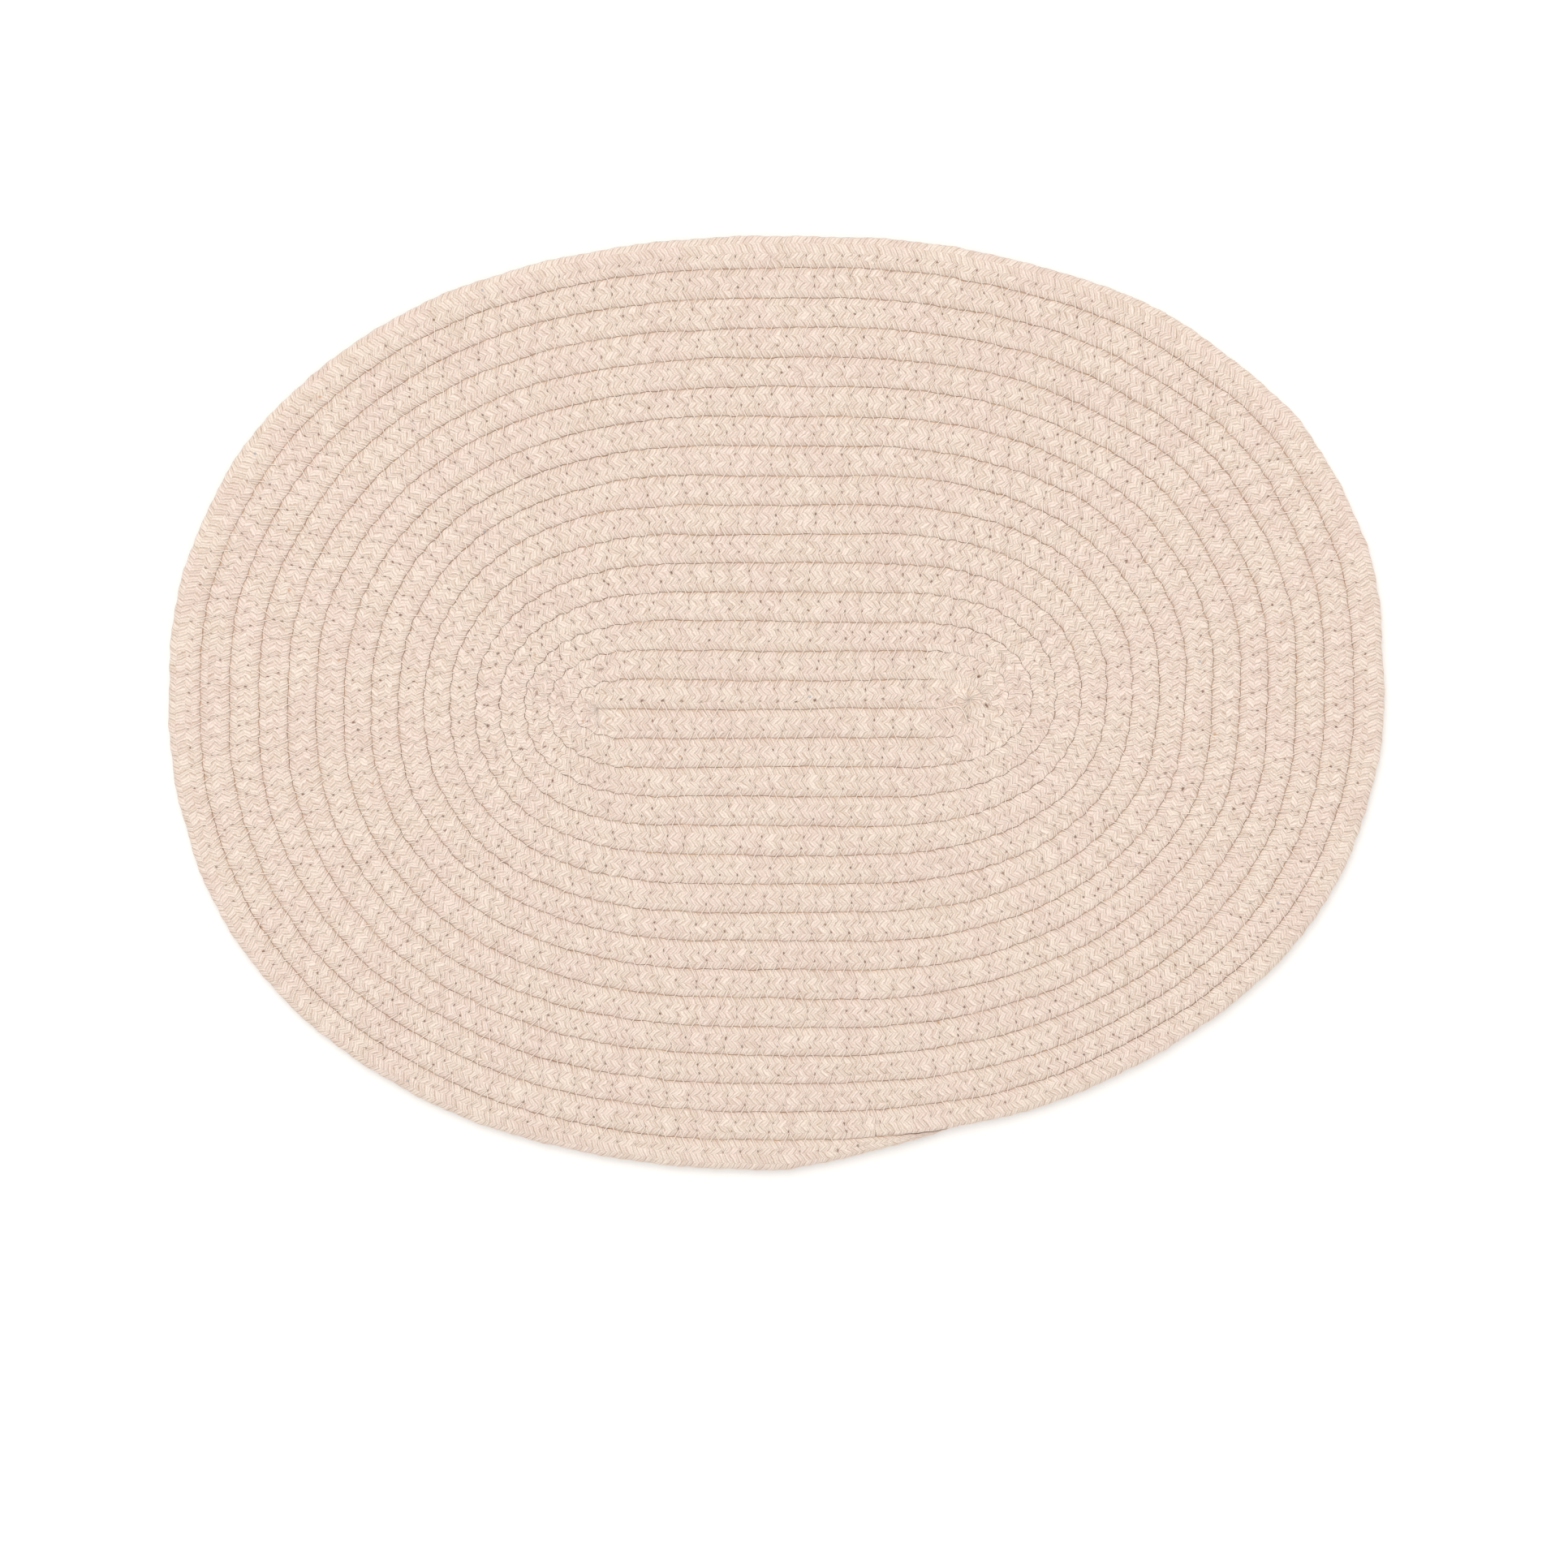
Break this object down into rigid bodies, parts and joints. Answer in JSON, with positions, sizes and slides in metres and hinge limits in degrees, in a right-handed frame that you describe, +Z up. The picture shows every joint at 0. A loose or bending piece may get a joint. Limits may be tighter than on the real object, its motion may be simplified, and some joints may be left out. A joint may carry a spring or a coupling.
{
  "type": "coiled cotton cord placemat",
  "caption": "Flat oval table mat made of one braided cotton cord, coiled round two bends and sewn row to row. It lies on a table under a plate.",
  "frame": {"origin": "middle of the mat's outline, on the surface that it lies on", "axes": "+X along the mat's length, towards the end where the cord starts; +Y across it, towards the edge opposite the cord's outer end; +Z up, out of the face that is laid upwards"},
  "size_m": [0.4502, 0.347, 0.0084],
  "materials": {
    "cotton_cord": "matt unbleached cotton braid"
  },
  "bodies": {
    "root": {"coiled_mat": "cotton_cord"}
  },
  "joints": []
}
